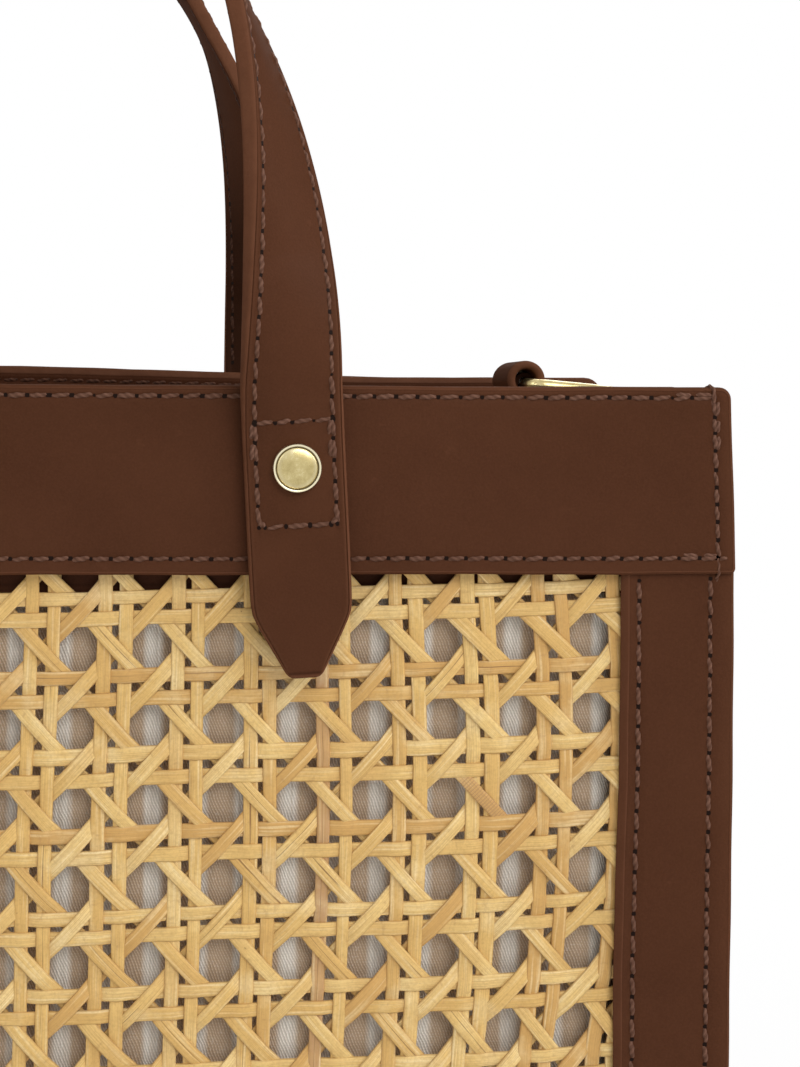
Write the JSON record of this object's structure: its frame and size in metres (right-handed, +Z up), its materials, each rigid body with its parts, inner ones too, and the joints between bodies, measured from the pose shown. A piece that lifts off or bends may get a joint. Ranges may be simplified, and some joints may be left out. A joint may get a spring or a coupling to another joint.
{
  "type": "box bag",
  "caption": "Structured box bag with open cane panels in leather frames, folding side gussets, cloth lining, twisted strap handles and side rings that swing.",
  "frame": {"origin": "centre of the overall box in plan, at the floor under the base", "axes": "+Z up, +X to the right seen from the front, front panel facing -Y"},
  "size_m": [0.2688, 0.1392, 0.3068],
  "materials": {
    "leather": "smooth",
    "leather_inner": "matt",
    "cane": "natural",
    "lining": "woven stripe",
    "board": "raw",
    "brass": "brushed"
  },
  "bodies": {
    "bag": {"front_cane_panel": "cane", "rear_cane_panel": "cane", "front_top_band": "leather", "rear_top_band": "leather", "front_band_facing": "leather_inner", "rear_band_facing": "leather_inner", "front_left_border": "leather", "front_right_border": "leather", "rear_left_border": "leather", "rear_right_border": "leather", "front_bottom_border": "leather", "rear_bottom_border": "leather", "left_gusset": "leather", "right_gusset": "leather", "base_panel": "leather", "base_board": "board", "lining_pouch": "lining", "front_handle": "leather", "rear_handle": "leather", "handle_studs": "brass", "stud_backs": "brass", "left_ring_loop": "leather_inner", "right_ring_loop": "leather_inner"},
    "left_ring_body": {"left_ring": "brass"},
    "right_ring_body": {"right_ring": "brass"}
  },
  "joints": [
    {"name": "left_ring_swing", "type": "hinge", "parent": "bag", "child": "left_ring_body", "pos_m": [-0.1025, 0, 0.18935], "axis": [0, 1, 0], "range_deg": [0, 235]},
    {"name": "right_ring_swing", "type": "hinge", "parent": "bag", "child": "right_ring_body", "pos_m": [0.1025, 0, 0.18935], "axis": [0, -1, 0], "range_deg": [0, 235]}
  ]
}
